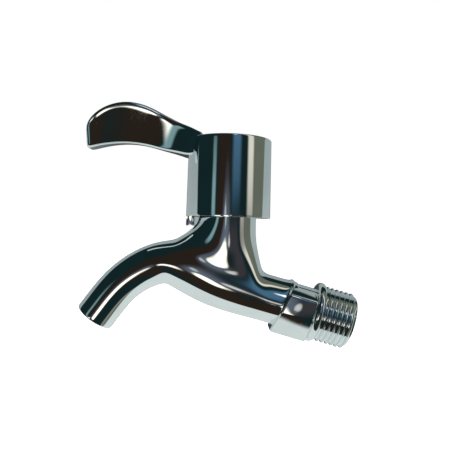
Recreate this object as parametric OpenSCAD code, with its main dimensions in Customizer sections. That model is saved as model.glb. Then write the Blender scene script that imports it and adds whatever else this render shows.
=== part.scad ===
// Quarter-turn lever bib tap: cast body with a male inlet thread, ceramic-disc cartridge, lever handle.
// Units are millimetres. +Z is up, the inlet points along +X into the wall, and the spout and the
// lever point towards -X. The origin is the centre of the inlet's end face.

/* [Inlet] */
// Major diameter of the pipe thread, G 1/2
thread_d = 20.955; // [20.9:0.005:21]
// Pitch of the pipe thread, 14 turns per inch
thread_pitch = 1.814; // [1.7:0.002:1.9]
// Length of the threaded end
thread_len = 12; // [11:0.5:13]
// Diameter of the waterway in the threaded end
inlet_bore_d = 13.2; // [12:0.2:14]
// Diameter of the round bead behind the thread
bead_d = 22.4; // [21.8:0.1:23]

/* [Wrench section] */
// Width across the two side flats
wrench_w = 20.6; // [20:0.1:21.5]
// Height of the top flat above the inlet's axis
wrench_top = 7.4; // [7:0.1:8]
// Depth of the bottom flat below the inlet's axis
wrench_bottom = 11; // [10.5:0.1:11.5]
// Distance of the cast shoulder from the inlet's end, on the axis
shoulder_at = 26.6; // [26:0.1:27.5]

/* [Body] */
// Diameter of the body tube between the wrench section and the neck
tube_d = 17.6; // [17:0.1:18]
// Distance of the neck's axis from the inlet's end
neck_at = 48.2; // [47.5:0.1:49]
// Forward lean of the neck
neck_lean = 14.8; // [14:0.1:15.5]
// Diameter of the neck at its top
neck_d = 21; // [20.8:0.1:21.4]
// Height of the neck's top face, along the neck's axis
neck_top = 28; // [27.8:0.1:28.2]

/* [Spout] */
// Radius of the spout's bend, at the middle of the tube
bend_r = 34.7; // [34:0.1:35.5]
// Angle of the outlet below the horizontal
outlet_angle = 69.4; // [68:0.1:71]
// Distance of the outlet's centre in front of the inlet's end face
outlet_reach = 92.5; // [92:0.1:93]
// Depth of the outlet's centre below the inlet's axis
outlet_drop = 25.4; // [25:0.1:26]
// Outside diameter of the outlet
outlet_d = 14.9; // [14.7:0.1:15.1]
// Diameter of the mouth
outlet_bore_d = 11.8; // [11.4:0.1:12]
// Length of the straight end of the spout
outlet_len = 10; // [9:0.5:11]

/* [Handle] */
// Diameter of the hub at the skirt's rim
hub_d = 31.6; // [31.2:0.1:32]
// Diameter of the hub at its top
hub_top_d = 31; // [30.6:0.1:31.4]
// Height of the skirt's rim along the neck's axis
rim_at = 25.8; // [25.6:0.1:26]
// Height of the hub from rim to top
hub_h = 29; // [28.5:0.1:29.5]
// Inside diameter of the skirt
skirt_bore_d = 25.4; // [25:0.1:25.8]
// Length of the tongue below the rim
tongue_len = 3.8; // [3.4:0.1:3.9]
// Part of the turn that the tongue covers, from the front towards the far side
tongue_angle = 50; // [40:1:60]
// How far the handle is turned from the closed position
handle_turn = 0; // [0:1:90]

/* [Cartridge] */
// Diameter of the housing's thread
housing_d = 16.5; // [16.4:0.05:16.55]
// Width across the housing's hexagon
housing_hex = 17; // [16.5:0.1:17]
// Diameter of the ceramic discs
disc_d = 13; // [12.8:0.1:13.1]
// Thickness of each ceramic disc
disc_t = 2.5; // [2.3:0.1:2.5]
// Diameter of the spindle
spindle_d = 8; // [7.9:0.05:8]
// Teeth of the spindle's spline
spline_teeth = 20; // [18:1:24]

/* [Hidden] */
$fn = 72;
eps = 0.02;

chrome = "lightslategray";
brass = "goldenrod";
ceramic = "white";
rubber = "dimgray";
plastic = "ivory";
steel = "silver";

// ---- heights along the neck's axis, from the inlet's axis upwards ----
seat_at = 7.5;                              // the cast seat that the cartridge is pressed on
seat_ring_t = 2.5;
fixed_disc_at = seat_at + seat_ring_t;
moving_disc_at = fixed_disc_at + disc_t + 0.03;
moving_disc_top = moving_disc_at + disc_t - 0.2;
window_at = moving_disc_top;                // water leaves the housing sideways above the discs
window_h = 2.6;
flange_at = window_at + window_h;           // the spindle's flange
flange_t = 1.2;
thrust_at = flange_at + flange_t + 0.03;
thrust_t = 0.6;
gasket_t = 0.8;
housing_flange_at = neck_top + gasket_t;
housing_flange_t = 1.5;
housing_top = housing_flange_at + housing_flange_t + 3.7;
clip_washer_at = housing_top + 0.05;
clip_washer_t = 0.5;
clip_at = clip_washer_at + clip_washer_t + 0.05;
clip_t = 0.8;
boss_at = clip_at + clip_t + 0.4;           // underside of the handle's inner boss
spline_from = boss_at - 0.2;                // the spline starts just below the insert that it drives
spline_len = 8.6;
spindle_top = spline_from + spline_len;
web_at = spindle_top + 0.6;                 // plate in the boss that the screw pulls down
web_t = 2;
hub_top = rim_at + hub_h;
plug_t = 1.5;

// ---- radii ----
wall = 0.1;                                 // looseness between pieces that don't turn on each other
running = 0.06;                             // radial clearance of what turns
chamber_r = 8.6;
barrel_r = 7.6;
disc_room_r = disc_d / 2 + wall;
seat_hole_r = 4.6;
waterway_r = 4.8;
spindle_r = spindle_d / 2;
groove_r = spindle_r - 1;                   // bottom of the O-ring grooves
o_ring_t = 1;
screw_r = 1.98;
insert_r = 6.6;
boss_r = 9;
well_r = 4.6;
plug_r = 6.4;

// ---- the spout's centre line: a straight end, a round bend, then a tangent towards the neck ----
outlet = [-outlet_reach, 0, -outlet_drop];
out_dir = [-cos(outlet_angle), 0, -sin(outlet_angle)];
bend_end = outlet - outlet_len * out_dir;
bend_centre = bend_end + bend_r * [sin(outlet_angle), 0, -cos(outlet_angle)];
bend_from = 31;                             // slope below the horizontal where the bend begins
function bend_point(slope) = bend_centre + bend_r * [-sin(slope), 0, cos(slope)];

module column() {
    translate([-neck_at, 0, 0]) rotate([0, -neck_lean, 0]) children();
}

module turned_column() {
    column() rotate([0, 0, handle_turn]) children();
}

// A ring of height h from height z0, in the neck's frame.
module ring(z0, h, r_out, r_in) {
    translate([0, 0, z0]) difference() {
        cylinder(h = h, r = r_out);
        translate([0, 0, -1]) cylinder(h = h + 2, r = r_in);
    }
}

// ---- lofts: rings of points joined into one closed solid; each ring runs anticlockwise about the way on ----
function flat_list(lists) = [for (l = lists) for (p = l) p];

module loft(rings) {
    n = len(rings[0]);
    last = len(rings) - 1;
    sides = [for (k = [0:last - 1]) for (i = [0:n - 1])
        [k * n + i, (k + 1) * n + i, (k + 1) * n + (i + 1) % n, k * n + (i + 1) % n]];
    quads = [for (q = sides) each [[q[0], q[1], q[2]], [q[0], q[2], q[3]]]];
    caps = [[for (i = [0:n - 1]) i], [for (i = [n - 1:-1:0]) last * n + i]];
    polyhedron(points = flat_list(rings), faces = concat(quads, caps), convexity = 6);
}

// A smooth curve through a list of stations, each a vector of numbers.
function curve_at(p, k, t) =
    let (a = p[max(k - 1, 0)], b = p[k], c = p[k + 1], d = p[min(k + 2, len(p) - 1)])
    0.5 * (2 * b + (c - a) * t + (2 * a - 5 * b + 4 * c - d) * t * t
        + (3 * b - a - 3 * c + d) * t * t * t);
function curve(p, steps) = concat(
    [for (k = [0:len(p) - 2]) for (s = [0:steps - 1]) curve_at(p, k, s / steps)],
    [p[len(p) - 1]]);

// ---- body ----
// Stations of the run from the inlet to the spout's straight end: x, z and radius.
run_stations = concat(
    [[-22, 0, tube_d / 2], [-36, 0, tube_d / 2], [-neck_at, 0.1, 9.3], [-56, 1.5, 9.6],
     [-62.5, 2.9, 9.4], [-68.8, 2.7, 8.7]],
    [for (f = [0, 0.33, 0.66, 1])
        let (p = bend_point(bend_from + f * (outlet_angle - bend_from)))
        [p[0], p[2], 7.95 - 1.6 * f + 0.85 * f * f]],
    [[bend_end[0] + 3 * out_dir[0], bend_end[2] + 3 * out_dir[2], 7.25]]);

module body_run() {
    n = 40;
    line = curve(run_stations, 3);
    last = len(line) - 1;
    loft([for (k = [0:last])
        let (a = line[max(k - 1, 0)], b = line[min(k + 1, last)],
             d = [b[0] - a[0], b[1] - a[1]] / norm([b[0] - a[0], b[1] - a[1]]),
             c = line[k])
        [for (i = [0:n - 1])
            let (s = c[2] * cos(360 * i / n), y = c[2] * sin(360 * i / n))
            [c[0] - d[1] * s, -y, c[1] + d[0] * s]]]);
}

// Stations of the neck: height, reach to the back, reach to the front and half width.
neck_stations = [
    [0, 16, 9, 8.6], [4, 18, 13, 9], [7, 14.4, 17, 9.4], [10.5, 12.4, 21, 9.7], [14.5, 11.3, 23, 10],
    [18, 10.7, 19, 10.2], [20.5, 10.5, 14.6, 10.35], [22.3, neck_d / 2, 12, 10.4],
    [24.5, neck_d / 2, 10.6, neck_d / 2], [neck_top, neck_d / 2, neck_d / 2, neck_d / 2]];

module neck_blend() {
    n = 48;
    column() loft([for (s = curve(neck_stations, 2))
        [for (i = [0:n - 1])
            let (a = 360 * (i + 0.5) / n, c = cos(a), tail = c < 0 ? min(max(s[2] / s[3] - 1, 0), 1) : 0)
            [c * (c > 0 ? s[1] : s[2]), s[3] * sin(a) * pow(abs(sin(a)), tail), s[0]]]]);
}

// Wrench section seen along the inlet: a top flat, two side flats and a deeper bottom flat.
module wrench_outline() {
    side = wrench_w / 2;
    right = [[4.5, wrench_top], [side, 4.8], [side, -3.7], [6.2, -wrench_bottom]];
    left = [for (i = [len(right) - 1:-1:0]) [-right[i][0], right[i][1]]];
    polygon(concat(right, left));
}

// Turns a solid built along +Z so that it lies along +X.
module along_x() {
    rotate([0, 90, 0]) rotate([0, 0, 90]) children();
}

module wrench_section() {
    shoulder_lean = 10;
    intersection() {
        translate([-32, 0, 0]) along_x() linear_extrude(height = 32 - thread_len - 2.7) wrench_outline();
        translate([-shoulder_at, 0, 0]) rotate([0, shoulder_lean, 0])
            translate([0, -20, -20]) cube([20, 40, 40]);
    }
    ridge_r = 9.3;
    translate([-25.4, 0, 0]) along_x() cylinder(h = 0.8, r1 = tube_d / 2 - 0.4, r2 = ridge_r);
    translate([-24.6 - eps, 0, 0]) along_x() cylinder(h = 3.2, r1 = ridge_r, r2 = 7);
}

module bead() {
    bead_w = 3;
    round_r = 1.4;
    translate([-thread_len - bead_w, 0, 0]) along_x() rotate_extrude() {
        square([bead_d / 2 - round_r, bead_w]);
        translate([bead_d / 2 - round_r, bead_w / 2]) circle(r = round_r);
    }
}

// Crests of the pipe thread are flat rings with a groove between each two.
module inlet_thread() {
    crest = thread_d / 2;
    root = crest - 1.1;
    turns = floor((thread_len - 1) / thread_pitch);
    difference() {
        translate([-thread_len, 0, 0]) along_x() union() {
            cylinder(h = thread_len - 0.4, r = crest);
            translate([0, 0, thread_len - 0.4 - eps]) cylinder(h = 0.4 + eps, r1 = crest, r2 = crest - 0.4);
        }
        for (k = [0:turns - 1])
            translate([-1.6 - k * thread_pitch, 0, 0]) along_x() rotate_extrude()
                polygon([[root, 0], [crest + 0.2, -0.72], [crest + 0.2, 0.72]]);
    }
}

// The straight end is a true cylinder, a little wider than the run that it is pushed over.
module outlet_end() {
    lead = 1.3;
    translate(bend_end) rotate([0, -90 - outlet_angle, 0])
        translate([0, 0, lead]) cylinder(h = outlet_len - lead, r = outlet_d / 2);
}

module waterways() {
    // inlet, in two steps, and the hole through the seat
    translate([-34, 0, 0]) along_x() cylinder(h = 34 + 1, r = inlet_bore_d / 2);
    translate([-neck_at - waterway_r, 0, 0]) along_x() cylinder(h = neck_at + waterway_r - 33, r = 5.2);
    column() {
        translate([0, 0, -1]) cylinder(h = seat_at + 2, r = seat_hole_r);
        // room for the cartridge: pilot, chamber and threaded mouth
        translate([0, 0, seat_at]) cylinder(h = 6, r = barrel_r + 0.4);
        translate([0, 0, 12.5]) cylinder(h = 7, r = chamber_r);
        translate([0, 0, 19]) cylinder(h = neck_top, r = housing_d / 2 + 0.05);
    }
    // spout: straight from the chamber, round the bend, out through the wider mouth
    overlap = 1;
    translate(bend_point(bend_from)) rotate([0, 90 - bend_from, 0])
        translate([0, 0, -overlap]) cylinder(h = 26 + overlap, r = waterway_r - 0.2);
    translate(bend_centre) rotate([90, 0, 0]) rotate([0, 0, 90 + bend_from])
        rotate_extrude(angle = outlet_angle - bend_from) translate([bend_r, 0]) circle(r = waterway_r);
    translate(bend_end) rotate([0, -90 - outlet_angle, 0])
        translate([0, 0, -overlap / 2]) cylinder(h = outlet_len + 2 * overlap, r = outlet_bore_d / 2);
}

module body() {
    color(chrome) difference() {
        union() {
            body_run();
            neck_blend();
            wrench_section();
            bead();
            inlet_thread();
            outlet_end();
        }
        waterways();
    }
}

// ---- cartridge ----
module cartridge_housing() {
    bottom = seat_at + 0.6;
    color(brass) column() difference() {
        union() {
            translate([0, 0, bottom]) cylinder(h = 20 - bottom, r = barrel_r);
            translate([0, 0, 20 - eps]) cylinder(h = housing_flange_at - 20 + 2 * eps, r = housing_d / 2);
            translate([0, 0, housing_flange_at]) cylinder(h = housing_flange_t, r = 9.9);
            translate([0, 0, housing_flange_at + housing_flange_t - eps])
                cylinder(h = housing_top - housing_flange_at - housing_flange_t + eps,
                         r = housing_hex / 2 / cos(30), $fn = 6);
        }
        translate([0, 0, 0]) cylinder(h = thrust_at + thrust_t, r = disc_room_r);
        cylinder(h = seat_at + seat_ring_t, r = barrel_r - 0.6);
        cylinder(h = housing_top + 1, r = spindle_r + running);
        for (a = [0, 90])
            rotate([0, 0, a]) translate([-10, -3, window_at]) cube([20, 6, window_h]);
    }
}

module housing_gasket() {
    color(rubber) column() ring(neck_top, gasket_t, 10, housing_d / 2 + 0.1);
}

module seat_ring() {
    color(rubber) column() ring(seat_at, seat_ring_t, barrel_r - 0.65, 5);
}

module support_ring() {
    color(plastic) column() ring(seat_at + 0.4, seat_ring_t - 0.4, 4.95, 4.3);
}

// Two opposite ports, each a quarter of a circle less the ribs beside it.
module ports(z0, h) {
    for (a = [0, 180]) rotate([0, 0, a]) intersection() {
        ring(z0 - 1, h + 2, 4.9, 1.4);
        translate([0, 0, z0 - 1]) linear_extrude(height = h + 2)
            polygon([[0.8, 0], [8, 6.4], [8, -6.4]]);
    }
}

// The ceramic discs: the lower one's ports lie across the upper one's while the tap is closed.
module fixed_disc() {
    color(ceramic) column() difference() {
        translate([0, 0, fixed_disc_at]) cylinder(h = disc_t, r = disc_d / 2);
        ports(fixed_disc_at, disc_t);
    }
}

module moving_disc() {
    color(ceramic) turned_column() difference() {
        translate([0, 0, moving_disc_at]) cylinder(h = moving_disc_top - moving_disc_at, r = disc_d / 2 - 0.05);
        rotate([0, 0, 90]) ports(moving_disc_at, disc_t);
        for (side = [-1, 1])
            translate([side * 5.2 - 1.2, -1.7, moving_disc_top - 0.8]) cube([2.4, 3.4, 2]);
    }
}

module thrust_washer() {
    color(plastic) column() ring(thrust_at, thrust_t, disc_room_r - 0.1, spindle_r + 0.2);
}

// Outline of the spline: one point at the tip and one at the root of each tooth.
function spline_points(r) = [for (i = [0:2 * spline_teeth - 1])
    (i % 2 == 0 ? r : r - 0.35) * [cos(180 * i / spline_teeth), sin(180 * i / spline_teeth)]];

module o_ring_groove(z) {
    ring(z - 0.65, 1.3, spindle_r + 1, groove_r);
}

o_ring_heights = [thrust_at + 3, thrust_at + 6];

module spindle() {
    clip_groove = clip_t + 0.1;
    color(brass) turned_column() difference() {
        union() {
            translate([0, 0, flange_at]) cylinder(h = flange_t, r = disc_d / 2 - 0.15);
            translate([0, 0, flange_at]) cylinder(h = spline_from - flange_at, r = spindle_r);
            translate([0, 0, spline_from - eps]) linear_extrude(height = spline_len + eps)
                polygon(spline_points(spindle_r - 0.03));
            for (side = [-1, 1])
                translate([side * 5.1 - 0.8, -1.6, moving_disc_top - 0.7])
                    cube([1.6, 3.2, flange_at - moving_disc_top + 0.7 + eps]);
        }
        for (z = o_ring_heights) o_ring_groove(z);
        ring(clip_at - 0.05, clip_groove, spindle_r + 1, groove_r + 0.3);
        translate([0, 0, spindle_top - 11]) cylinder(h = 12, r = screw_r + 0.02);
    }
}

module o_ring(z) {
    color(rubber) turned_column() translate([0, 0, z])
        rotate_extrude() translate([spindle_r + 0.04 - o_ring_t / 2, 0]) circle(d = o_ring_t, $fn = 24);
}

module spindle_o_ring_lower() {
    o_ring(o_ring_heights[0]);
}

module spindle_o_ring_upper() {
    o_ring(o_ring_heights[1]);
}

module clip_washer() {
    color(brass) column() ring(clip_washer_at, clip_washer_t, 6.4, spindle_r + 0.1);
}

module retaining_clip() {
    color(steel) turned_column() difference() {
        ring(clip_at, clip_t, 5.6, groove_r + 0.35);
        translate([0, 0, clip_at - 1]) linear_extrude(height = 3) polygon([[0, 0], [8, 5], [8, -5]]);
    }
}

// ---- handle ----
module spline_insert() {
    color(plastic) turned_column() difference() {
        translate([0, 0, boss_at]) cylinder(h = web_at - boss_at, r = insert_r);
        translate([0, 0, boss_at - 1]) linear_extrude(height = web_at - boss_at + 2)
            polygon(spline_points(spindle_r + 0.05));
    }
}

module lock_washer() {
    color(steel) turned_column() ring(web_at + web_t, 0.7, 3.9, screw_r + 0.15);
}

module handle_screw() {
    head_at = web_at + web_t + 0.7;
    color(steel) turned_column() difference() {
        union() {
            translate([0, 0, spindle_top - 9]) cylinder(h = head_at - spindle_top + 9 + eps, r = screw_r);
            translate([0, 0, head_at]) cylinder(h = 1.6, r = 3.6);
            translate([0, 0, head_at + 1.6 - eps]) cylinder(h = 0.8, r1 = 3.6, r2 = 2.6);
        }
        for (a = [0, 90]) rotate([0, 0, a])
            translate([-2, -0.4, head_at + 1]) cube([4, 0.8, 3]);
    }
}

// Stations of the lever: distance in front of the hub's axis, top and bottom above the hub's top, half width at
// the upper edge and at the lower edge.
lever_stations = [
    [9, 0.8, -6.8, 11.8, 11.6], [11.5, 1.7, -6.8, 10.1, 9.7], [14, 3.1, -6.8, 8.1, 7.3],
    [16.4, 3.9, -6.6, 7, 5.7], [19.5, 5.2, -5.6, 6.2, 4.2], [23, 7, -5, 5.6, 2.9],
    [27, 9, -4.1, 5.8, 2.5], [31, 10.8, -3.1, 6.6, 2.6], [38, 11.9, -2.5, 7.5, 3],
    [45.3, 10.1, -3.3, 8.1, 3.8], [50, 7.6, -4.2, 7.8, 4.1], [53, 4.4, -4.7, 6.2, 3.6], [54.6, 1.2, -2.4, 3, 2]];

module lever() {
    n = 32;
    squareness = 0.55;
    translate([0, 0, hub_top]) loft([for (s = curve(lever_stations, 3))
        [for (i = [0:n - 1])
            let (a = 360 * (i + 0.5) / n,
                 rise = sign(sin(a)) * pow(abs(sin(a)), squareness),
                 half_w = (s[3] + s[4]) / 2 + (s[3] - s[4]) / 2 * rise)
            [-s[0],
             -half_w * sign(cos(a)) * pow(abs(cos(a)), squareness),
             (s[1] + s[2]) / 2 + (s[1] - s[2]) / 2 * rise]]]);
}

module hub_outside() {
    edge = 0.5;
    rotate_extrude() polygon(concat(
        [[0, rim_at], [hub_d / 2, rim_at]],
        [for (a = [0:15:90]) [hub_top_d / 2 - edge + edge * cos(a), hub_top - edge + edge * sin(a)]],
        [[0, hub_top]]));
}

// The tongue hangs from the skirt between the front and the far side, with its far corner slanted off.
module tongue() {
    bottom = rim_at - tongue_len;
    far = hub_d / 2 * sin(tongue_angle);
    intersection() {
        ring(bottom, tongue_len + 1, hub_d / 2, skirt_bore_d / 2 + 0.3);
        translate([-30, 0, 0]) along_x() linear_extrude(height = 30)
            polygon([[-0.5, bottom - 1], [far - 4, bottom - 1], [far - 4, bottom], [far, rim_at - 0.5],
                     [far, rim_at + 2], [-0.5, rim_at + 2]]);
    }
}

module handle() {
    color(chrome) turned_column() difference() {
        union() {
            hub_outside();
            lever();
            tongue();
        }
        // skirt, with an inner boss left standing
        translate([0, 0, rim_at - 1]) cylinder(h = boss_at - rim_at + 1 + eps, r = skirt_bore_d / 2);
        ring(boss_at, hub_top - 5.3 - boss_at, skirt_bore_d / 2, boss_r);
        translate([0, 0, boss_at - 1]) cylinder(h = web_at - boss_at + 1, r = insert_r + 0.02);
        cylinder(h = hub_top, r = screw_r + 0.25);
        translate([0, 0, web_at + web_t]) cylinder(h = hub_top, r = well_r);
        translate([0, 0, hub_top - plug_t - 0.1]) cylinder(h = 10, r = plug_r + 0.1);
    }
}

module index_plug() {
    top = hub_top - 0.1;
    color(chrome) turned_column() {
        translate([0, 0, top - plug_t]) cylinder(h = plug_t - 0.3, r = plug_r);
        translate([0, 0, top - 0.3 - eps]) cylinder(h = 0.3 + eps, r1 = plug_r, r2 = plug_r - 0.3);
        ring(top - plug_t - 3, 3 + eps, well_r - 0.05, well_r - 0.9);
    }
}

body();
cartridge_housing();
housing_gasket();
seat_ring();
support_ring();
fixed_disc();
thrust_washer();
moving_disc();
spindle();
spindle_o_ring_lower();
spindle_o_ring_upper();
clip_washer();
retaining_clip();
spline_insert();
lock_washer();
handle_screw();
handle();
index_plug();
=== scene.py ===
"""Quarter-turn lever bib tap: the visual model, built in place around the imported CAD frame."""

import math

import bmesh
import bpy
from bpy.props import FloatProperty, FloatVectorProperty, IntProperty, PointerProperty
from mathutils import Matrix, Vector


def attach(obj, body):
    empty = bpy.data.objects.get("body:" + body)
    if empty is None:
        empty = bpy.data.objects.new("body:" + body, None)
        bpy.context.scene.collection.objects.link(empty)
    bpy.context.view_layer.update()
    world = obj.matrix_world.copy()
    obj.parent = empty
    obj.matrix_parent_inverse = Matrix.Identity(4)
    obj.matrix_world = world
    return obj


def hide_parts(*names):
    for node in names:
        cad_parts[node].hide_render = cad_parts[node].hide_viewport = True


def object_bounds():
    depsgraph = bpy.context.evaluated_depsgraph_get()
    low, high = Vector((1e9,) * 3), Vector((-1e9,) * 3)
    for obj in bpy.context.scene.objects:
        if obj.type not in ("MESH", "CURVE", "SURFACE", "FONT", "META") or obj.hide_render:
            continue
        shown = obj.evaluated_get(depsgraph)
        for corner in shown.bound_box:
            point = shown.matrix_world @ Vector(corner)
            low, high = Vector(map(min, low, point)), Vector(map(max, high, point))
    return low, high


bl_info = {
    "name": "Lever bib tap",
    "version": (1, 0, 0),
    "blender": (4, 5, 0),
    "location": "View3D > Sidebar > Bib tap",
    "description": "Builds a chromed quarter-turn bib tap piece by piece, with its finishes and a studio",
    "category": "Add Mesh",
}

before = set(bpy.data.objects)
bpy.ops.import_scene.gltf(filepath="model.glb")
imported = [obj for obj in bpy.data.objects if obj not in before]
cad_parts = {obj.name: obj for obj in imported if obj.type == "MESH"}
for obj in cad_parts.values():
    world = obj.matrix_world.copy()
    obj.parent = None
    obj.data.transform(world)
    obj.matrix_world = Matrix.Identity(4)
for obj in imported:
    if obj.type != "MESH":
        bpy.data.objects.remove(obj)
CAD_BOX = [list(corner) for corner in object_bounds()]
MM = 0.001
NECK_AT = 48.2  # neck's axis behind the inlet's end face
NECK_LEAN = math.radians(14.8)
HUB_TOP = 54.8
SMOOTH = math.radians(32)

# The neck's frame: z along the neck's leaning axis, x towards the inlet.
COLUMN = Matrix.Translation((-NECK_AT, 0, 0)) @ Matrix.Rotation(-NECK_LEAN, 4, "Y")


# ---------------------------------------------------------------- sizes and colours a user would change
class BodySizes(bpy.types.PropertyGroup):
    """Sizes of the cast body."""

    tube: FloatProperty(name="Tube", description="Radius of the tube behind the neck, mm", default=8.8)
    neck: FloatProperty(name="Neck", description="Radius of the neck at its top, mm", default=10.5)
    outlet: FloatProperty(name="Outlet", description="Radius of the outlet, mm", default=7.45)
    mouth: FloatProperty(name="Mouth", description="Radius of the outlet's hole, mm", default=5.9)
    bore: FloatProperty(name="Inlet bore", description="Radius of the inlet's hole, mm", default=6.6)
    levels: IntProperty(name="Levels", description="Subdivision of the casting", default=3, min=1, max=4)


class ThreadSizes(bpy.types.PropertyGroup):
    """Sizes of the pipe thread."""

    crest: FloatProperty(name="Crest", description="Radius over the crests, mm", default=10.4775)
    depth: FloatProperty(name="Depth", description="Depth of the thread, mm", default=1.1)
    pitch: FloatProperty(name="Pitch", description="Distance between two crests, mm", default=1.814)
    length: FloatProperty(name="Length", description="Length of the threaded end, mm", default=12.0)
    steps: IntProperty(name="Steps", description="Steps in one turn", default=72, min=24)


class HandleSizes(bpy.types.PropertyGroup):
    """Sizes of the hub, its skirt and the lever."""

    rim: FloatProperty(name="Rim", description="Radius of the skirt's rim, mm", default=15.79)
    top: FloatProperty(name="Top", description="Radius of the hub at its top, mm", default=15.5)
    rim_at: FloatProperty(name="Rim height", description="Height of the rim along the neck, mm", default=25.8)
    edge: FloatProperty(name="Edge", description="Rounding of the hub's top edge, mm", default=0.55)
    tongue: FloatProperty(name="Tongue", description="Length of the tongue below the rim, mm", default=3.5)


class Finishes(bpy.types.PropertyGroup):
    """Colours of the finishes."""

    chrome: FloatVectorProperty(name="Chrome", description="Colour of the plating", subtype="COLOR",
                                default=(0.80, 0.86, 0.86))
    brass: FloatVectorProperty(name="Brass", description="Colour of bare brass", subtype="COLOR",
                               default=(0.72, 0.50, 0.22))
    floor: FloatVectorProperty(name="Floor", description="Colour of the studio floor", subtype="COLOR",
                               default=(0.93, 0.93, 0.93))


# ---------------------------------------------------------------- shader maths
class Val:
    """A node's output that can be used in Python expressions."""

    def __init__(self, tree, socket):
        self.tree, self.socket = tree, socket

    def maths(self, operation, *values):
        return add(self.tree, "ShaderNodeMath", {"operation": operation}, dict(enumerate(values)))

    def __add__(self, other):
        return self.maths("ADD", self, other)

    def __sub__(self, other):
        return self.maths("SUBTRACT", self, other)

    def __rsub__(self, other):
        return self.maths("SUBTRACT", other, self)

    def __mul__(self, other):
        return self.maths("MULTIPLY", self, other)

    __radd__, __rmul__ = __add__, __mul__


def add(tree, kind, settings=None, inputs=None, out=0):
    """Adds a node: first its settings, then the values or links of its sockets."""
    node = tree.nodes.new(kind)
    for name, value in (settings or {}).items():
        setattr(node, name, value)
    for name, value in (inputs or {}).items():
        socket = node.inputs[name]
        if isinstance(value, Val):
            tree.links.new(value.socket, socket)
        elif socket.type == "RGBA" and len(value) == 3:
            socket.default_value = (*value, 1)
        else:
            socket.default_value = value
    return Val(tree, node.outputs[out]) if node.outputs else node


def step(value, low, high, a=0.0, b=1.0):
    """A soft step of value from a at low to b at high."""
    return add(value.tree, "ShaderNodeMapRange", {"interpolation_type": "SMOOTHSTEP"},
               {0: value, 1: low, 2: high, 3: a, 4: b})


def blend(factor, a, b):
    """Colour a where factor is 0, b where it is 1."""
    return add(factor.tree, "ShaderNodeMix", {"data_type": "RGBA"}, {0: factor, 6: a, 7: b}, out=2)


def noise(tree, place, scale, detail=3.0, rough=0.5, stretch=None):
    """Noise in object coordinates; scale is in cells per metre."""
    if stretch:
        place = add(tree, "ShaderNodeMapping", {}, {"Vector": place, "Scale": stretch})
    return add(tree, "ShaderNodeTexNoise", {},
               {"Vector": place, "Scale": scale, "Detail": detail, "Roughness": rough})


def finish_named(name, colour, metallic, roughness, bump, **constants):
    """A material whose colour, roughness and bump come from small functions of the object's coordinates."""
    material = bpy.data.materials.new(name)
    material.use_nodes = True
    tree = material.node_tree
    tree.nodes.clear()
    place = add(tree, "ShaderNodeTexCoord", out=3)
    normal = add(tree, "ShaderNodeBump", {},
                 {"Strength": 1.0, "Distance": MM, "Height": bump(tree, place)})
    inputs = {"Base Color": colour(tree, place), "Metallic": metallic,
              "Roughness": roughness(tree, place), "Normal": normal}
    inputs.update({key.replace("_", " "): value for key, value in constants.items()})
    surface = add(tree, "ShaderNodeBsdfPrincipled", {}, inputs)
    add(tree, "ShaderNodeOutputMaterial", {}, {"Surface": surface})
    return material


def chrome_plate(name="chrome_plate", waves=0.035):
    """Bright chrome over a polished casting: slow waves in the surface, wiping marks and fine scratches."""
    tint = tuple(bpy.context.scene.tap_finishes.chrome)
    deep = tuple(c * 0.93 for c in tint)

    def colour(tree, place):
        return blend(step(noise(tree, place, 90, 4), 0.35, 0.7), tint, deep)

    def roughness(tree, place):
        smears = step(noise(tree, place, 140, 5, 0.6), 0.45, 0.8)
        wiped = step(noise(tree, place, 500, 2, 0.5, (1, 1, 0.15)), 0.5, 0.75)
        return 0.035 + smears * 0.045 + wiped * 0.02

    def bump(tree, place):
        slow = noise(tree, place, 110, 1, 0.4)
        scratch = step(noise(tree, place, 1500, 2, 0.5, (0.12, 1, 1)), 0.62, 0.7)
        return slow * waves - scratch * 0.0006

    return finish_named(name, colour, 1.0, roughness, bump)


def bare_brass():
    """Turned brass with faint tool rings and a little tarnish."""
    tint = tuple(bpy.context.scene.tap_finishes.brass)
    dull = (tint[0] * 0.62, tint[1] * 0.55, tint[2] * 0.5)

    def colour(tree, place):
        return blend(step(noise(tree, place, 260, 5, 0.6), 0.4, 0.75), tint, dull)

    def roughness(tree, place):
        return 0.22 + noise(tree, place, 700, 4) * 0.2

    def bump(tree, place):
        return noise(tree, place, 2500, 2, 0.5, (1, 1, 6)) * 0.01

    return finish_named("turned_brass", colour, 1.0, roughness, bump)


def zinc_steel():
    """Zinc-plated steel, slightly mottled."""

    def colour(tree, place):
        return blend(step(noise(tree, place, 600, 4), 0.4, 0.7), (0.62, 0.63, 0.64), (0.48, 0.49, 0.52))

    def roughness(tree, place):
        return 0.25 + noise(tree, place, 900, 4) * 0.18

    def bump(tree, place):
        return noise(tree, place, 3000, 2) * 0.008

    return finish_named("zinc_steel", colour, 1.0, roughness, bump)


def soft_rubber():
    """Black nitrile rubber with a bloom."""

    def colour(tree, place):
        return blend(step(noise(tree, place, 400, 5), 0.45, 0.75), (0.018, 0.018, 0.019), (0.05, 0.05, 0.052))

    def roughness(tree, place):
        return 0.5 + noise(tree, place, 800, 4) * 0.25

    def bump(tree, place):
        return noise(tree, place, 4000, 3) * 0.02

    return finish_named("nitrile_rubber", colour, 0.0, roughness, bump)


def lapped_ceramic():
    """Lapped alumina: off-white, very smooth."""

    def colour(tree, place):
        return blend(step(noise(tree, place, 1500, 3), 0.4, 0.7), (0.86, 0.85, 0.81), (0.78, 0.77, 0.73))

    def roughness(tree, place):
        return 0.12 + noise(tree, place, 1200, 3) * 0.1

    def bump(tree, place):
        return noise(tree, place, 6000, 2) * 0.003

    return finish_named("lapped_ceramic", colour, 0.0, roughness, bump, IOR=1.76)


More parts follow.
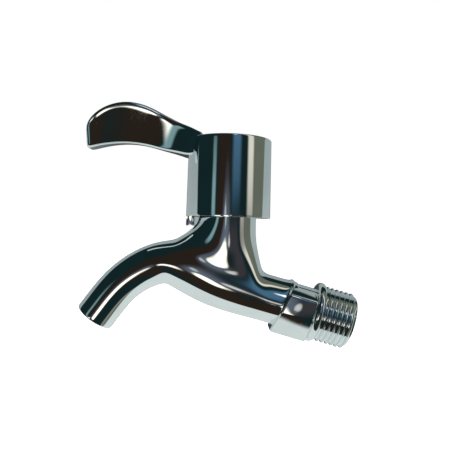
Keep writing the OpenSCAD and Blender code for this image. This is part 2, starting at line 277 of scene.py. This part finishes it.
def moulded_acetal():
    """White moulded acetal with a fine grain."""

    def colour(tree, place):
        return blend(step(noise(tree, place, 500, 4), 0.4, 0.75), (0.80, 0.79, 0.74), (0.70, 0.69, 0.63))

    def roughness(tree, place):
        return 0.38 + noise(tree, place, 900, 4) * 0.15

    def bump(tree, place):
        return noise(tree, place, 5000, 2) * 0.01

    return finish_named("moulded_acetal", colour, 0.0, roughness, bump)


# ---------------------------------------------------------------- mesh helpers
def place_ring(centre, along, radius):
    """Matrix that stands a unit circle on centre, facing along, with its x pointing up and its y to +Y."""
    z = Vector(along).normalized()
    y = Vector((0, 1, 0))
    x = y.cross(z)
    scale = Matrix.Diagonal((radius, radius, 1, 1))
    turn = Matrix((x, y, z)).transposed().to_4x4()
    return Matrix.Translation(centre) @ turn @ scale


def spokes(verts, matrix, count):
    """The ring's vertices by spoke number, counted from the top towards +Y."""
    found = {}
    inverse = matrix.inverted()
    for v in verts:
        p = inverse @ v.co
        found[round(math.atan2(p.y, p.x) / (2 * math.pi / count)) % count] = v
    return found


def ring_edges(verts):
    """The edges that join two of these vertices."""
    group = set(verts)
    return [e for e in {e for v in verts for e in v.link_edges} if all(v in group for v in e.verts)]


def push_ring(bm, verts, old, new):
    """Extrudes a ring of vertices and moves the new ring from matrix old to matrix new."""
    made = bmesh.ops.extrude_edge_only(bm, edges=ring_edges(verts))["geom"]
    fresh = [g for g in made if isinstance(g, bmesh.types.BMVert)]
    bmesh.ops.transform(bm, matrix=new @ old.inverted(), verts=fresh)
    return fresh


def loft(bm, matrices, count):
    """Extrudes a circle through the matrices. Returns each ring as {spoke: vertex}."""
    verts = bmesh.ops.create_circle(bm, cap_ends=False, radius=1, segments=count)["verts"]
    bmesh.ops.transform(bm, matrix=matrices[0], verts=verts)
    rings = [spokes(verts, matrices[0], count)]
    for old, new in zip(matrices, matrices[1:]):
        verts = push_ring(bm, verts, old, new)
        rings.append(spokes(verts, new, count))
    return rings


def cap(bm, verts):
    """Closes a ring with one face."""
    bmesh.ops.edgeloop_fill(bm, edges=ring_edges(verts))


def spun(bm, profile, steps):
    """Turns a closed polyline of (radius, height) a whole turn about Z."""
    verts = [bm.verts.new((r, 0, z)) for r, z in profile]
    edges = [bm.edges.new(pair) for pair in zip(verts, verts[1:] + verts[:1])]
    bmesh.ops.spin(bm, geom=verts + edges, cent=(0, 0, 0), axis=(0, 0, 1), dvec=(0, 0, 0),
                   angle=2 * math.pi, steps=steps, use_merge=True, use_normal_flip=False, use_duplicate=False)


def bevel_where(bm, test, offset, segments):
    """Rounds the edges that test picks."""
    chosen = [e for e in bm.edges if test(e)]
    bmesh.ops.bevel(bm, geom=chosen, offset=offset, offset_type="OFFSET", segments=segments, profile=0.5,
                    affect="EDGES", material=-1, clamp_overlap=True)


def sharp(edge, angle=math.radians(30)):
    """Whether the edge's two faces turn by more than the angle."""
    return len(edge.link_faces) == 2 and edge.calc_face_angle(0) > angle


def to_mesh(bm, name, levels=0):
    """Turns a bmesh in millimetres into a mesh in metres, subdivided and with its faces outwards."""
    bmesh.ops.remove_doubles(bm, verts=bm.verts, dist=1e-4)
    bmesh.ops.recalc_face_normals(bm, faces=bm.faces)
    bmesh.ops.scale(bm, vec=(MM, MM, MM), verts=bm.verts)
    mesh = bpy.data.meshes.new(name)
    bm.to_mesh(mesh)
    bm.free()
    if not levels:
        return mesh
    cage = bpy.data.objects.new(name, mesh)
    bpy.context.scene.collection.objects.link(cage)
    modifier = cage.modifiers.new("Subdivision", "SUBSURF")
    modifier.levels = modifier.render_levels = levels
    modifier.use_limit_surface = True
    smooth = bpy.data.meshes.new_from_object(cage.evaluated_get(bpy.context.evaluated_depsgraph_get()))
    bpy.data.objects.remove(cage)
    bpy.data.meshes.remove(mesh)
    return smooth


def piece(name, meshes, material, body, slot, *nodes):
    """Joins the meshes into one object that rides on a body and stands for CAD nodes."""
    bm = bmesh.new()
    for mesh in meshes:
        bm.from_mesh(mesh)
    whole = bpy.data.meshes.new(name)
    bm.to_mesh(whole)
    bm.free()
    for mesh in meshes:
        bpy.data.meshes.remove(mesh)
    whole.polygons.foreach_set("use_smooth", [True] * len(whole.polygons))
    whole.set_sharp_from_angle(angle=SMOOTH)
    whole.materials.append(material)
    made = bpy.data.objects.new(name, whole)
    bpy.context.scene.collection.objects.link(made)
    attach(made, body)
    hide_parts(*nodes)
    return made


# ---------------------------------------------------------------- casting: tube, neck and spout in one cage
RUN_SPOKES = 12  # spokes of the run's rings
LOOP = 16  # vertices in a ring round the neck
# a subdivided ring shrinks towards its middle by these shares
RUN_SHRINK = (2 + math.cos(2 * math.pi / RUN_SPOKES)) / 3
LOOP_SHRINK = (2 + math.cos(2 * math.pi / LOOP)) / 3
BEND_R = 34.7  # radius of the spout's bend
BEND_FROM = 31  # slope at the bend's start, degrees
OUTLET = Vector((-92.5, 0, -25.4))
OUT_ANGLE = 69.4  # slope of the outlet, degrees
STRAIGHT = 10.0  # straight end of the spout


def heading(slope):
    """Direction of a run that falls away from the inlet at this slope in degrees."""
    a = math.radians(slope)
    return Vector((-math.cos(a), 0, -math.sin(a)))


def run_matrices(sizes):
    """Stations of the run from inside the wrench section to the outlet: centre, slope and radius."""
    bend_end = OUTLET - STRAIGHT * heading(OUT_ANGLE)
    a = math.radians(OUT_ANGLE)
    centre = bend_end + BEND_R * Vector((math.sin(a), 0, -math.cos(a)))
    tube = sizes.tube
    stations = [
        ((-22.0, 0, 0), 0, tube), ((-23.9, 0, 0), 0, tube), ((-24.4, 0, 0), 0, tube + 0.6),
        ((-25.0, 0, 0), 0, tube + 0.6), ((-25.6, 0, 0), 0, tube), ((-28.5, 0, -0.15), 0, tube),
        ((-32.5, 0, -0.2), 0, tube), ((-36.5, 0, -0.2), 0, tube + 0.05), ((-44.5, 0, -0.1), -2, 9.3),
        ((-53.5, 0, 0.65), -8, 9.75), ((-62.5, 0, 2.4), -6, 9.6), ((-69.8, 0, 2.4), 14, 8.8),
    ]
    for f in (0, 0.25, 0.5, 0.75, 1):
        slope = BEND_FROM + f * (OUT_ANGLE - BEND_FROM)
        a = math.radians(slope)
        spot = centre + BEND_R * Vector((-math.sin(a), 0, math.cos(a)))
        stations.append((tuple(spot), slope, 7.9 - 1.0 * f + 0.5 * f * f))
    for back, r in ((5, 7.4), (1.2, sizes.outlet), (0.35, sizes.outlet)):
        stations.append((tuple(OUTLET - back * heading(OUT_ANGLE)), OUT_ANGLE, r))
    return [place_ring(c, heading(s), r / RUN_SHRINK) for c, s, r in stations]


OPENING_FROM = 7  # station at the back of the neck's opening
OPENING_SPAN = 4  # stations that the opening spans


def on_neck(angle, back, front, half, heights):
    """A point on a ring round the neck; heights are those at the back, the sides and the front."""
    c, s = math.cos(angle), math.sin(angle)
    rear, side, fore = heights
    rise = side + (rear - side) * max(c, 0) ** 2 + (fore - side) * max(-c, 0) ** 2
    reach = (back if c > 0 else front) / LOOP_SHRINK
    return COLUMN @ Vector((c * reach, s * half / LOOP_SHRINK, rise))


def neck_rings(neck):
    """Rings from above the opening up to the neck's top and down into its mouth."""
    return [
        (11.2, 16.2, 10.2, (14.6, 13.5, 19.2)),
        (10.55, 13.4, 10.4, (19.3, 18.6, 21.3)),
        (neck, 11.0, neck, (23.8, 23.6, 24.0)),
        (neck, neck, neck, (27.4, 27.4, 27.4)),
        (neck, neck, neck, (28.0, 28.0, 28.0)),
        (neck - 0.5, neck - 0.5, neck - 0.5, (28.0, 28.0, 28.0)),
        (8.7, 8.7, 8.7, (28.0, 28.0, 28.0)),
        (8.3, 8.3, 8.3, (27.6, 27.6, 27.6)),
        (8.3, 8.3, 8.3, (14.0, 14.0, 14.0)),
    ]


def casting_mesh(sizes):
    """Cast tube, neck and spout as one subdivided cage, with the neck grown out of the run."""
    bm = bmesh.new()
    matrices = run_matrices(sizes)
    rings = loft(bm, matrices, RUN_SPOKES)

    # outlet: rounded lip, mouth and the waterway behind it
    verts, old = list(rings[-1].values()), matrices[-1]
    out = heading(OUT_ANGLE)
    for back, r in ((0, sizes.outlet - 0.35), (0, sizes.mouth + 0.35), (0.4, sizes.mouth), (9.6, sizes.mouth),
                    (10.4, sizes.mouth - 0.3), (10.6, 4.8), (18.0, 4.7)):
        new = place_ring(OUTLET - back * out, out, r / RUN_SHRINK)
        verts, old = push_ring(bm, verts, old, new), new
    cap(bm, verts)

    # inlet end: hidden in the wrench section, bored through
    verts, old = list(rings[0].values()), matrices[0]
    for x, r in ((-21.9, sizes.bore + 0.4), (-22.4, sizes.bore + 0.02), (-33.6, sizes.bore + 0.02),
                 (-34.2, 5.4), (-35.0, 5.2), (-44.0, 5.2)):
        new = place_ring((x, 0, 0), (-1, 0, 0), r / RUN_SHRINK)
        verts, old = push_ring(bm, verts, old, new), new
    cap(bm, verts)

    # the neck's opening: four faces wide on top of the run
    first, last = OPENING_FROM, OPENING_FROM + OPENING_SPAN
    top = [-2, -1, 0, 1, 2]
    inner = {rings[i][k % RUN_SPOKES] for i in range(first + 1, last) for k in (-1, 0, 1)}
    bmesh.ops.delete(bm, geom=list(inner), context="VERTS")
    order = [rings[first][k % RUN_SPOKES] for k in top]
    order += [rings[i][2] for i in range(first + 1, last)]
    order += [rings[last][k % RUN_SPOKES] for k in reversed(top)]
    order += [rings[i][-2 % RUN_SPOKES] for i in range(last - 1, first, -1)]
    for v in order:
        if abs(v.co.y) > 7:
            v.co.y *= 1.06
    turn = 2 * math.pi / LOOP
    ring = [(v, (i - 2) * turn) for i, v in enumerate(order)]
    targets = neck_rings(sizes.neck)
    border = {angle: v.co.copy() for v, angle in ring}
    for share, (back, front, half, heights) in [(0.42, targets[0]), *((1, target) for target in targets)]:
        edges = [bm.edges.get((ring[i][0], ring[(i + 1) % LOOP][0])) for i in range(LOOP)]
        at = {tuple(v.co): angle for v, angle in ring}
        made = bmesh.ops.extrude_edge_only(bm, edges=edges)["geom"]
        fresh = [g for g in made if isinstance(g, bmesh.types.BMVert)]
        ring = sorted(((v, at[tuple(v.co)]) for v in fresh), key=lambda pair: pair[1])
        for v, angle in ring:
            v.co = border[angle].lerp(on_neck(angle, back, front, half, heights), share)
    cap(bm, [v for v, _ in ring])
    return to_mesh(bm, "casting", levels=sizes.levels)


# ---------------------------------------------------------------- wrench section, bead and thread
ALONG_X = Matrix.Rotation(math.radians(90), 4, "Y")
SHOULDER_AT = 26.6
SHOULDER_LEAN = math.radians(10)


def wrench_mesh():
    """Cast wrench section: a top flat, two side flats and a deeper bottom flat, with soft cast edges."""
    bm = bmesh.new()
    half = [(4.5, 7.4), (10.3, 4.8), (10.3, -2.9), (5.6, -11.15)]
    outline = half + [(-y, z) for y, z in reversed(half)]
    face = bm.faces.new([bm.verts.new((-32, y, z)) for y, z in outline])
    made = bmesh.ops.extrude_face_region(bm, geom=[face])["geom"]
    far = [g for g in made if isinstance(g, bmesh.types.BMVert)]
    bmesh.ops.translate(bm, vec=(17.3, 0, 0), verts=far)
    lean = Vector((-math.cos(SHOULDER_LEAN), 0, math.sin(SHOULDER_LEAN)))
    bmesh.ops.bisect_plane(bm, geom=bm.verts[:] + bm.edges[:] + bm.faces[:], plane_co=(-SHOULDER_AT, 0, 0),
                           plane_no=lean, clear_outer=True)
    bmesh.ops.holes_fill(bm, edges=[e for e in bm.edges if len(e.link_faces) == 1], sides=0)
    bmesh.ops.recalc_face_normals(bm, faces=bm.faces)
    bevel_where(bm, lambda e: sharp(e, math.radians(10)), 0.95, 5)
    # a hole through it for the waterway's wall
    ends = [max(bm.faces, key=lambda f: f.calc_center_median().x),
            min(bm.faces, key=lambda f: f.calc_center_median().x + 100 * (len(f.verts) < 8))]
    loops = []
    for end, x, tilt in zip(ends, (-14.7, -SHOULDER_AT), (0, SHOULDER_LEAN)):
        rim = end.edges[:]
        bmesh.ops.delete(bm, geom=[end], context="FACES_ONLY")
        hole = bmesh.ops.create_circle(bm, cap_ends=False, radius=7.4, segments=40)["verts"]
        stand = Matrix.Translation((x, 0, 0)) @ Matrix.Rotation(tilt, 4, "Y") @ ALONG_X
        bmesh.ops.transform(bm, matrix=stand, verts=hole)
        inner = ring_edges(hole)
        bmesh.ops.bridge_loops(bm, edges=rim + inner)
        loops += inner
    bmesh.ops.bridge_loops(bm, edges=loops)
    return to_mesh(bm, "wrench_section")


def bead_mesh(bore):
    """Round bead behind the thread, on a sleeve that runs into the wrench section."""
    bm = bmesh.new()
    spun(bm, [(bore + 0.02, -23.0), (8.4, -23.0), (8.4, -15.05), (11.2, -15.05), (11.2, -11.95),
              (9.2, -11.95), (9.2, -11.4), (bore + 0.02, -11.4)], 96)
    bmesh.ops.recalc_face_normals(bm, faces=bm.faces)
    bevel_where(bm, lambda e: sharp(e) and all(v.co.xy.length > 11 for v in e.verts), 1.35, 6)
    bmesh.ops.transform(bm, matrix=ALONG_X, verts=bm.verts)
    return to_mesh(bm, "bead")


THREAD_TURNS = 10  # turns made before the ends are cut off
THREAD_BACK = 8  # pitches that the first turn starts behind the inlet's end


def thread_mesh(sizes, bore):
    """Helical pipe thread with rounded crests and roots, chamfered at the inlet's end."""
    bm = bmesh.new()
    p, deep, crest = sizes.pitch, sizes.depth, sizes.crest
    form = [(0, 0.0), (0.16, 0.06), (0.34, 0.6), (0.42, 0.9), (0.5, 1.0), (0.58, 0.9), (0.66, 0.6),
            (0.84, 0.06), (1, 0.0)]
    verts = [bm.verts.new((crest - deep * (1 - h), 0, -p * THREAD_BACK + t * p)) for t, h in form]
    edges = [bm.edges.new(pair) for pair in zip(verts, verts[1:])]
    bmesh.ops.spin(bm, geom=verts + edges, cent=(0, 0, 0), axis=(0, 0, 1), dvec=(0, 0, p / sizes.steps),
                   angle=THREAD_TURNS * 2 * math.pi, steps=THREAD_TURNS * sizes.steps, use_merge=False,
                   use_normal_flip=False, use_duplicate=False)
    bmesh.ops.remove_doubles(bm, verts=bm.verts, dist=1e-3)
    for z, side in ((0, 1), (-sizes.length - 1, -1)):
        bmesh.ops.bisect_plane(bm, geom=bm.verts[:] + bm.edges[:] + bm.faces[:], plane_co=(0, 0, z),
                               plane_no=(0, 0, side), clear_outer=True)
    for v in bm.verts:
        r = v.co.xy.length
        limit = crest - 1.25 + 1.0 * max(0.0, -v.co.z)
        if r > limit:
            v.co.x, v.co.y = v.co.x * limit / r, v.co.y * limit / r
    loops = []
    for z in (0, -sizes.length - 1):
        rim = [e for e in bm.edges
               if len(e.link_faces) == 1 and all(abs(v.co.z - z) < 1e-3 for v in e.verts)]
        hole = bmesh.ops.create_circle(bm, cap_ends=False, radius=bore, segments=sizes.steps)["verts"]
        bmesh.ops.translate(bm, vec=(0, 0, z - 0.3 * (z == 0)), verts=hole)
        if z == 0:
            lip = bmesh.ops.create_circle(bm, cap_ends=False, radius=bore + 0.3,
                                          segments=sizes.steps)["verts"]
            bmesh.ops.bridge_loops(bm, edges=ring_edges(hole) + ring_edges(lip))
            bmesh.ops.bridge_loops(bm, edges=rim + [e for e in ring_edges(lip) if len(e.link_faces) == 1])
        else:
            bmesh.ops.bridge_loops(bm, edges=rim + ring_edges(hole))
        loops += [e for e in ring_edges(hole) if len(e.link_faces) == 1]
    bmesh.ops.bridge_loops(bm, edges=loops)
    bmesh.ops.transform(bm, matrix=ALONG_X, verts=bm.verts)
    return to_mesh(bm, "thread")


# ---------------------------------------------------------------- handle
PLUG_R = 6.5  # radius of the plug's seat in the hub's top
TONGUE_TO = 50  # the tongue's far end, degrees from the front


def from_front(place):
    """Degrees from the front towards the far side, seen along the neck."""
    return math.degrees(math.atan2(place.y, -place.x))


def hub_mesh(sizes):
    """Hub and skirt, turned about the neck's axis, hollow below with the boss for the spline inside."""
    bm = bmesh.new()
    rim, top, low = sizes.rim, sizes.top, sizes.rim_at
    outside = [(rim, low), (rim, low + 0.8), (rim - 0.1, low + 10), (top, HUB_TOP - 1.3), (top, HUB_TOP)]
    plug_seat = [(PLUG_R, HUB_TOP), (PLUG_R, HUB_TOP - 1.6)]
    screw_well = [(4.6, HUB_TOP - 1.6), (4.6, 46.8), (2.23, 46.8), (2.23, 44.8)]
    boss = [(6.62, 44.8), (6.62, 35.8), (9.0, 35.8), (9.0, 49.5)]
    skirt = [(12.7, 49.5), (12.7, low + 0.8), (12.7, low)]
    spun(bm, outside + plug_seat + screw_well + boss + skirt, 128)
    # the tongue hangs from the rim between the front and the far side, its far corner slanted off
    rim_faces = [f for f in bm.faces if all(abs(v.co.z - low) < 0.01 for v in f.verts)
                 and 0 < from_front(f.calc_center_median()) < TONGUE_TO]
    for share in (0.86, 0.14):
        made = bmesh.ops.extrude_face_region(bm, geom=rim_faces)["geom"]
        bmesh.ops.delete(bm, geom=rim_faces, context="FACES_ONLY")
        rim_faces = [g for g in made if isinstance(g, bmesh.types.BMFace)]
        for v in (g for g in made if isinstance(g, bmesh.types.BMVert)):
            slant = (TONGUE_TO + 1 - from_front(v.co)) / 13
            v.co.z -= share * sizes.tongue * min(1, max(0.12, slant))
    bmesh.ops.recalc_face_normals(bm, faces=bm.faces)

    def at(r, z):
        return lambda e: sharp(e) and all(
            abs(v.co.z - z) < 0.01 and abs(v.co.xy.length - r) < 0.01 for v in e.verts)

    bevel_where(bm, at(top, HUB_TOP), sizes.edge, 5)
    bevel_where(bm, at(PLUG_R, HUB_TOP), 0.25, 3)
    bevel_where(bm, lambda e: sharp(e, math.radians(50)) and all(v.co.z < low + 0.01 for v in e.verts),
                0.3, 3)
    bmesh.ops.transform(bm, matrix=COLUMN, verts=bm.verts)
    return to_mesh(bm, "hub")


# Lever stations: distance in front of the hub's axis, top and bottom above the hub's top, half width at the
# upper edge and at the lower edge.
LEVER_STATIONS = [
    (9.0, 0.5, -6.7, 12.0, 12.0), (11.5, 1.6, -6.8, 10.2, 9.8), (14.0, 3.2, -6.8, 8.2, 7.4),
    (16.4, 4.2, -6.6, 7.2, 5.9), (19.5, 5.5, -5.7, 6.3, 4.2), (23.0, 7.3, -5.0, 5.8, 3.0),
    (27.0, 9.35, -4.1, 5.8, 2.2), (31.5, 11.4, -2.9, 6.5, 2.0), (38.5, 12.6, -2.2, 7.5, 2.6),
    (45.6, 10.6, -3.0, 8.1, 3.5), (50.2, 7.4, -4.1, 7.7, 4.0), (52.4, 4.9, -4.8, 6.7, 3.6),
    (53.6, 2.5, -4.5, 5.2, 3.0),
]
LEVER_EDGE = 1.3  # rounding of the long upper edges
LEVER_LOWER_EDGE = 0.45


def lever_outline(top, bottom, half, low):
    """Control points round one section: flat leaning sides, rounded upper and crisp lower edges."""
    tall = top - bottom
    c, d = min(LEVER_EDGE, tall * 0.2), LEVER_LOWER_EDGE
    near = [(low - 1.6, bottom), (low - d, bottom)]
    near += [(low + (half - low) * rise / tall, bottom + rise)
             for rise in (d, 2.2 * d + 0.6, tall / 2, tall - 2.4 * c, tall - 0.75 * c)]
    near += [(half - 0.75 * c, top), (half - 2.2, top + 0.05)]
    return near + [(0, top + 0.15)] + [(-y, z) for y, z in reversed(near)] + [(0, bottom)]


def lever_mesh():
    """Lever paddle as a subdivided cage whose root flares onto the hub."""
    bm = bmesh.new()
    count = len(lever_outline(4, -4, 6, 6))
    ring = None
    for v, top, bottom, half, low in LEVER_STATIONS:
        spots = [Vector((-v, y, HUB_TOP + z)) for y, z in lever_outline(top, bottom, half, low)]
        if ring is None:
            ring = bmesh.ops.create_circle(bm, cap_ends=False, radius=1, segments=count)["verts"]
            start = ring
        else:
            keep = {tuple(p.co): i for i, p in enumerate(ring)}
            edges = [bm.edges.get((ring[i], ring[(i + 1) % count])) for i in range(count)]
            made = bmesh.ops.extrude_edge_only(bm, edges=edges)["geom"]
            fresh = [g for g in made if isinstance(g, bmesh.types.BMVert)]
            ring = sorted(fresh, key=lambda p: keep[tuple(p.co)])
        for p, spot in zip(ring, spots):
            p.co = spot
    for end in (start, ring):
        cap(bm, end)
    bmesh.ops.transform(bm, matrix=COLUMN, verts=bm.verts)
    return to_mesh(bm, "lever", levels=3)


# ---------------------------------------------------------------- operators
class TAP_OT_body(bpy.types.Operator):
    """Builds the chromed casting with its wrench section, bead and thread"""

    bl_idname = "tap.body"
    bl_label = "Cast body"

    def execute(self, context):
        sizes, thread = context.scene.tap_body, context.scene.tap_thread
        meshes = [casting_mesh(sizes), wrench_mesh(), bead_mesh(sizes.bore), thread_mesh(thread, sizes.bore)]
        piece("tap_body", meshes, chrome_plate(), "tap", "chrome_body", "body")
        return {"FINISHED"}


class TAP_OT_handle(bpy.types.Operator):
    """Builds the hub with its skirt and tongue, and the lever"""

    bl_idname = "tap.handle"
    bl_label = "Lever handle"

    def execute(self, context):
        sizes = context.scene.tap_handle
        meshes = [hub_mesh(sizes), lever_mesh()]
        piece("tap_handle", meshes, chrome_plate("chrome_handle", 0.03), "lever", "chrome_handle", "handle")
        return {"FINISHED"}


class TAP_OT_cartridge(bpy.types.Operator):
    """Gives the cartridge's and the fixing's pieces their finishes"""

    bl_idname = "tap.cartridge"
    bl_label = "Cartridge finishes"

    def execute(self, context):
        wearers = {
            bare_brass: ["cartridge_housing", "spindle", "clip_washer"],
            zinc_steel: ["retaining_clip", "lock_washer", "handle_screw"],
            soft_rubber: ["housing_gasket", "seat_ring", "spindle_o_ring_lower", "spindle_o_ring_upper"],
            lapped_ceramic: ["fixed_disc", "moving_disc"],
            moulded_acetal: ["support_ring", "thrust_washer", "spline_insert"],
            lambda: chrome_plate("chrome_plug", 0.01): ["index_plug"],
        }
        for finish, names in wearers.items():
            material = finish()
            for name in names:
                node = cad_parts[name]
                for slot in node.material_slots:
                    slot.material = material
        return {"FINISHED"}


# The studio's axes: up leans with the neck, and front is where the camera stands.
RIGHT = Vector((0.9588, 0, 0.2840))
UP = Vector((-0.2840, 0, 0.9588))
FRONT = Vector((0, -1, 0))
MIDDLE = Vector((-0.055, 0, 0))  # middle of the tap, which the lamps point at
CAMERA_AT = Vector((-0.0539, -0.189, 0.0212))
LENS, SENSOR = 39.6, 36
FLOOR_SIZE, FLOOR_GAP = 3, 0.045  # half the floor's width, and its depth below the tap
LAMPS = {  # place and power
    "soft_key": ((-0.35, -0.5, 0.75), 9),
    "soft_fill": ((0.5, -0.3, 0.6), 5),
    "soft_back": ((0.0, 0.6, 0.7), 5),
}
LAMP_SIZE = 0.6


def studio_world():
    """Plain white around the tap; chrome sees a pale sheet behind it and a dark room with lamps in front."""
    world = bpy.data.worlds.new("studio")
    world.use_nodes = True
    tree = world.node_tree
    tree.nodes.clear()
    ray = add(tree, "ShaderNodeTexCoord")

    def along(direction):
        return add(tree, "ShaderNodeVectorMath", {"operation": "DOT_PRODUCT"},
                   {0: ray, 1: tuple(direction)}, out=1)

    right, up, front = along(RIGHT), along(UP), along(FRONT)
    degrees = 180 / math.pi
    turn = right.maths("ARCTAN2", right, front) * degrees
    rise = up.maths("ARCSINE", up) * degrees

    def band(value, low, high, soft):
        return step(value, low - soft, low + soft) * step(value, high - soft, high + soft, 1, 0)

    def spot(direction, radius, soft):
        near = along(direction.normalized())
        outer, inner = math.radians(radius + soft), math.radians(max(radius - soft, 0))
        return step(near, math.cos(outer), math.cos(inner))

    def toward(turn_deg, rise_deg):
        a, e = math.radians(turn_deg), math.radians(rise_deg)
        return RIGHT * math.sin(a) * math.cos(e) + UP * math.sin(e) + FRONT * math.cos(a) * math.cos(e)

    room = blend(band(turn, -31, 4, 6), (0.007, 0.020, 0.022), (0.024, 0.016, 0.012))
    room = blend(band(turn, -12, 40, 8) * band(rise, -14, -1, 4), room, (0.045, 0.042, 0.048))
    room = blend(spot(toward(-5, -5), 6, 9), room, (0.13, 0.15, 0.20))
    room = blend(spot(toward(-7.5, 1.4), 2.2, 1.5), room, (0.50, 0.55, 0.55))
    room = blend(band(turn, 9, 30, 5) * step(rise, -1, 11), room, (0.07, 0.16, 0.26))
    room = blend(band(turn, 69, 112, 5), room, (0.15, 0.16, 0.125))
    room = blend(band(turn, 51, 68, 4) * step(rise, -6, 9, 0.3, 1), room, (0.85, 0.78, 0.68))
    room = blend(band(turn, -45, -36, 2.5) * band(rise, -24, 12, 6), room, (0.22, 0.36, 0.38))
    room = blend(band(turn, -36, -21, 3) * band(rise, -13, -7, 2.5), room, (1.7, 1.65, 1.5))
    room = blend(spot(toward(-6, -11), 5, 2.5), room, (1.9, 1.75, 1.5))
    room = blend(spot(toward(-3, -15), 4.5, 2.5), room, (1.9, 1.75, 1.5))
    room = blend(spot(toward(7, -7), 2, 2), room, (0.7, 0.68, 0.65))
    room = blend(spot(toward(16, 36), 4, 2.5), room, (1.8, 1.8, 1.75))
    sheet = blend(step(up, -0.75, 0.3), (0.74, 0.78, 0.77), (0.36, 0.41, 0.42))
    sheet = blend(step(front, -0.90, -0.98), sheet, (0.05, 0.06, 0.065))
    above = up.maths("MAXIMUM", up, 0.0)
    below = above - up
    edge = right * -0.13 - above * 0.58 + below * 0.58 - right * below * 0.4 - front - 0.13
    seen = blend(step(edge, -0.03, 0.03), room, sheet)
    colour = blend(add(tree, "ShaderNodeLightPath", out="Is Diffuse Ray"), seen, (1.2, 1.2, 1.2))
    colour = blend(add(tree, "ShaderNodeLightPath", out="Is Camera Ray"), colour, (1, 1, 1))
    background = add(tree, "ShaderNodeBackground", {}, {"Color": colour, "Strength": 1.0})
    add(tree, "ShaderNodeOutputWorld", {}, {"Surface": background})
    return world


def floor_finish():
    """Matt pale studio floor."""
    pale = tuple(bpy.context.scene.tap_finishes.floor)

    def colour(tree, place):
        return blend(step(noise(tree, place, 3, 2), 0.3, 0.7), pale, tuple(c * 0.985 for c in pale))

    def roughness(tree, place):
        return 0.85 + noise(tree, place, 20, 2) * 0.1

    def bump(tree, place):
        return noise(tree, place, 300, 2) * 0.002

    return finish_named("studio_floor", colour, 0.0, roughness, bump, Specular_IOR_Level=0.2)


class TAP_OT_stage(bpy.types.Operator):
    """Adds the floor, the soft lights, the surroundings and the camera"""

    bl_idname = "tap.stage"
    bl_label = "Studio"

    def execute(self, context):
        scene = context.scene
        bm = bmesh.new()
        bmesh.ops.create_grid(bm, x_segments=1, y_segments=1, size=FLOOR_SIZE)
        bmesh.ops.translate(bm, vec=(MIDDLE.x, 0, CAD_BOX[0][2] - FLOOR_GAP), verts=bm.verts)
        mesh = bpy.data.meshes.new("floor")
        bm.to_mesh(mesh)
        bm.free()
        mesh.materials.append(floor_finish())
        floor = bpy.data.objects.new("floor", mesh)
        scene.collection.objects.link(floor)
        floor.visible_glossy = False

        for name, (place, power) in LAMPS.items():
            lamp = bpy.data.lights.new(name, "AREA")
            lamp.energy, lamp.size = power, LAMP_SIZE
            made = bpy.data.objects.new(name, lamp)
            made.location = place
            made.rotation_euler = (MIDDLE - Vector(place)).to_track_quat("-Z", "Y").to_euler()
            made.visible_glossy = False
            scene.collection.objects.link(made)

        scene.world = studio_world()
        camera = bpy.data.cameras.new("camera")
        camera.lens, camera.sensor_width = LENS, SENSOR
        camera.clip_start = 0.005
        made = bpy.data.objects.new("camera", camera)
        turn = Matrix((RIGHT.normalized(), UP.normalized(), FRONT)).transposed().to_4x4()
        made.matrix_world = Matrix.Translation(CAMERA_AT) @ turn
        scene.collection.objects.link(made)
        scene.camera = made
        scene.view_settings.view_transform = "Standard"
        return {"FINISHED"}


class TAP_PT_panel(bpy.types.Panel):
    """Lists the tap's pieces and the studio"""

    bl_idname = "TAP_PT_panel"
    bl_label = "Bib tap"
    bl_space_type = "VIEW_3D"
    bl_region_type = "UI"
    bl_category = "Bib tap"

    def draw(self, context):
        for operator in OPERATORS:
            self.layout.operator(operator.bl_idname)


GROUPS = {"tap_body": BodySizes, "tap_thread": ThreadSizes, "tap_handle": HandleSizes,
          "tap_finishes": Finishes}
OPERATORS = [TAP_OT_body, TAP_OT_handle, TAP_OT_cartridge, TAP_OT_stage]


def register():
    """Registers the classes and hangs the groups of sizes on the scene."""
    for cls in [*GROUPS.values(), *OPERATORS, TAP_PT_panel]:
        bpy.utils.register_class(cls)
    for name, cls in GROUPS.items():
        setattr(bpy.types.Scene, name, PointerProperty(type=cls))


def unregister():
    """Takes the groups and the classes away again."""
    for name in GROUPS:
        delattr(bpy.types.Scene, name)
    for cls in [TAP_PT_panel, *reversed(OPERATORS), *GROUPS.values()]:
        bpy.utils.unregister_class(cls)


def main():
    """Builds the pieces in order."""
    register()
    bpy.ops.tap.body()
    bpy.ops.tap.handle()
    bpy.ops.tap.cartridge()
    bpy.ops.tap.stage()


if __name__ == "__main__":
    main()
